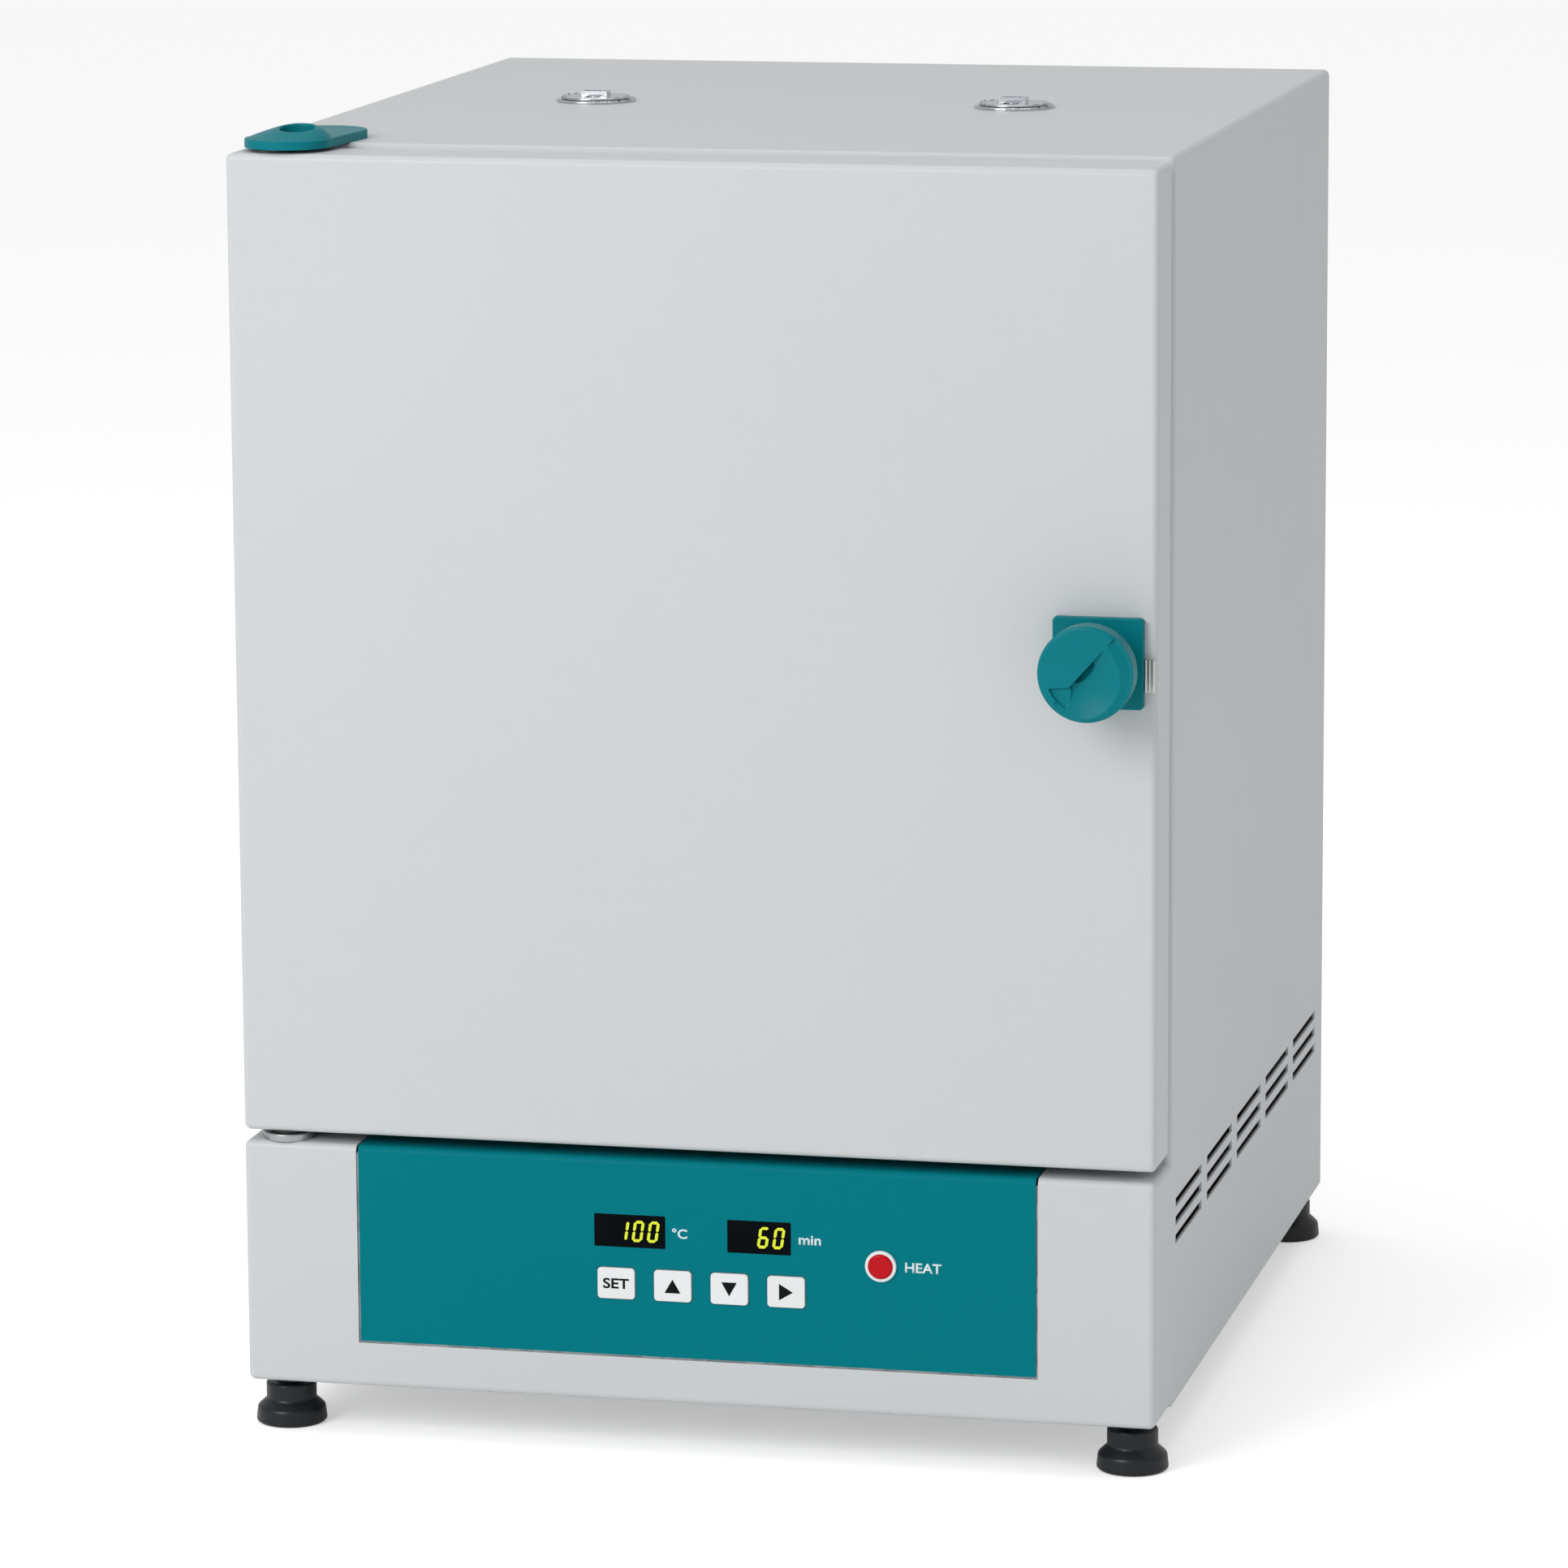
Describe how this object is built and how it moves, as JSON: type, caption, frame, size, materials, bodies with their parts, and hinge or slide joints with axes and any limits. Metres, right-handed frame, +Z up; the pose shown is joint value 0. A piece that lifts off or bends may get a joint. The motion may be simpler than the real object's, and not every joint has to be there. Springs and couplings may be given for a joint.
{
  "type": "forced air drying oven",
  "caption": "Bench-top laboratory drying oven with a hinged front door and twist latch, a control panel with displays and keys below it, roof vents and levelling feet",
  "frame": {"origin": "on the bench under the middle of the part's bounding box", "axes": "+Z is up, the door and control panel face -Y, +X is the latch side of the door"},
  "size_m": [0.536, 0.649, 0.7525],
  "materials": {
    "body_paint": "glossy light grey powder coat",
    "back_paint": "light grey powder coat",
    "stainless_sheet": "brushed stainless sheet",
    "shelf_wire": "electropolished wire",
    "zinc_plate": "zinc-plated sheet",
    "screw_steel": "bright steel",
    "hinge_steel": "light grey paint on steel",
    "bush_plastic": "off-white bearing plastic",
    "mineral_wool": "pale mineral wool",
    "fan_sheet": "stainless sheet",
    "motor_casting": "cast aluminium",
    "heater_sheath": "heat-tinted sheath",
    "probe_steel": "polished steel",
    "duct_sheet": "aluminium tube",
    "vent_chrome": "polished chrome",
    "teal_plastic": "satin teal plastic",
    "guide_chrome": "polished chrome",
    "cam_steel": "zinc-plated steel",
    "silicone_seal": "pale silicone",
    "panel_paint": "satin teal print on sheet",
    "display_window": "dark tinted window",
    "led_block": "dark display block",
    "circuit_board": "green laminate",
    "switch_plastic": "black plastic",
    "key_cap": "off-white key plastic",
    "bezel_plastic": "white plastic",
    "lamp_lens": "red lens",
    "transformer_iron": "laminated iron and copper",
    "relay_plastic": "black plastic on a finned sink",
    "black_plastic": "black plastic",
    "rocker_plastic": "black plastic",
    "foot_plastic": "blue-black plastic"
  },
  "bodies": {
    "cabinet": {"outer_case": "body_paint", "front_frame": "stainless_sheet", "chamber_liner": "stainless_sheet", "fan_baffle": "stainless_sheet", "shelf_rails": "stainless_sheet", "strike_plate": "zinc_plate", "base_pan": "zinc_plate", "insulation_tray": "zinc_plate", "panel_frame": "zinc_plate", "motor_mount": "zinc_plate", "back_panel": "back_paint", "case_screws": "screw_steel", "hinge_pins": "screw_steel", "upper_hinge_plate": "hinge_steel", "lower_hinge_plate": "hinge_steel", "insulation_slabs": "mineral_wool", "fan_motor": "motor_casting", "ring_heater": "heater_sheath", "temperature_probe": "probe_steel", "exhaust_ducts": "duct_sheet", "vent_collars": "vent_chrome", "hinge_cap": "teal_plastic", "control_panel": "panel_paint", "temperature_window": "display_window", "time_window": "display_window", "led_modules": "led_block", "display_board": "circuit_board", "controller_board": "circuit_board", "key_switches": "switch_plastic", "heat_lamp_bezel": "bezel_plastic", "heat_lamp_lens": "lamp_lens", "transformer": "transformer_iron", "solid_state_relay": "relay_plastic", "power_inlet": "black_plastic", "fuse_holder": "black_plastic", "switch_frame": "black_plastic"},
    "door": {"door_shell": "body_paint", "door_insulation": "mineral_wool", "door_inner_panel": "stainless_sheet", "door_gasket": "silicone_seal", "hinge_bushes": "bush_plastic", "latch_plate": "teal_plastic", "latch_guide": "guide_chrome"},
    "latch": {"latch_knob": "teal_plastic", "latch_cam": "cam_steel"},
    "set_key": {"set_key": "key_cap"},
    "up_key": {"up_key": "key_cap"},
    "down_key": {"down_key": "key_cap"},
    "start_key": {"start_key": "key_cap"},
    "left_damper": {"left_damper": "vent_chrome"},
    "right_damper": {"right_damper": "vent_chrome"},
    "fan": {"fan_impeller": "fan_sheet", "fan_shaft": "screw_steel"},
    "front_left_foot": {"front_left_foot": "foot_plastic"},
    "front_right_foot": {"front_right_foot": "foot_plastic"},
    "rear_left_foot": {"rear_left_foot": "foot_plastic"},
    "rear_right_foot": {"rear_right_foot": "foot_plastic"},
    "upper_shelf": {"upper_shelf": "shelf_wire"},
    "lower_shelf": {"lower_shelf": "shelf_wire"},
    "rocker": {"power_rocker": "rocker_plastic"}
  },
  "joints": [
    {"name": "door_hinge", "type": "hinge", "parent": "cabinet", "child": "door", "pos_m": [-0.242, -0.2655, 0.458], "axis": [0, 0, -1], "range_deg": [0, 150]},
    {"name": "latch_turn", "type": "hinge", "parent": "door", "child": "latch", "pos_m": [0.2324, -0.29, 0.466], "axis": [0, 1, 0], "range_deg": [0, 90]},
    {"name": "set_press", "type": "slide", "parent": "cabinet", "child": "set_key", "axis": [0, 1, 0], "range_m": [0, 0.001], "stiffness_N_per_m": 300},
    {"name": "up_press", "type": "slide", "parent": "cabinet", "child": "up_key", "axis": [0, 1, 0], "range_m": [0, 0.001], "stiffness_N_per_m": 300},
    {"name": "down_press", "type": "slide", "parent": "cabinet", "child": "down_key", "axis": [0, 1, 0], "range_m": [0, 0.001], "stiffness_N_per_m": 300},
    {"name": "start_press", "type": "slide", "parent": "cabinet", "child": "start_key", "axis": [0, 1, 0], "range_m": [0, 0.001], "stiffness_N_per_m": 300},
    {"name": "left_damper_turn", "type": "hinge", "parent": "cabinet", "child": "left_damper", "pos_m": [-0.133, 0.0395, 0.742], "axis": [0, 0, 1], "range_deg": [0, 90]},
    {"name": "right_damper_turn", "type": "hinge", "parent": "cabinet", "child": "right_damper", "pos_m": [0.121, 0.0395, 0.742], "axis": [0, 0, 1], "range_deg": [0, 90]},
    {"name": "fan_spin", "type": "hinge", "parent": "cabinet", "child": "fan", "pos_m": [0, 0.19, 0.458], "axis": [0, 1, 0], "continuous": true},
    {"name": "front_left_level", "type": "slide", "parent": "cabinet", "child": "front_left_foot", "axis": [0, 0, 1], "range_m": [-0.01, 0.003]},
    {"name": "front_right_level", "type": "slide", "parent": "cabinet", "child": "front_right_foot", "axis": [0, 0, 1], "range_m": [-0.01, 0.003]},
    {"name": "rear_left_level", "type": "slide", "parent": "cabinet", "child": "rear_left_foot", "axis": [0, 0, 1], "range_m": [-0.01, 0.003]},
    {"name": "rear_right_level", "type": "slide", "parent": "cabinet", "child": "rear_right_foot", "axis": [0, 0, 1], "range_m": [-0.01, 0.003]},
    {"name": "upper_shelf_slide", "type": "slide", "parent": "cabinet", "child": "upper_shelf", "axis": [0, -1, 0], "range_m": [0, 0.02]},
    {"name": "lower_shelf_slide", "type": "slide", "parent": "cabinet", "child": "lower_shelf", "axis": [0, -1, 0], "range_m": [0, 0.02]},
    {"name": "rocker_tip", "type": "hinge", "parent": "cabinet", "child": "rocker", "pos_m": [0.205, 0.3155, 0.078], "axis": [1, 0, 0], "range_deg": [0, 16]}
  ]
}
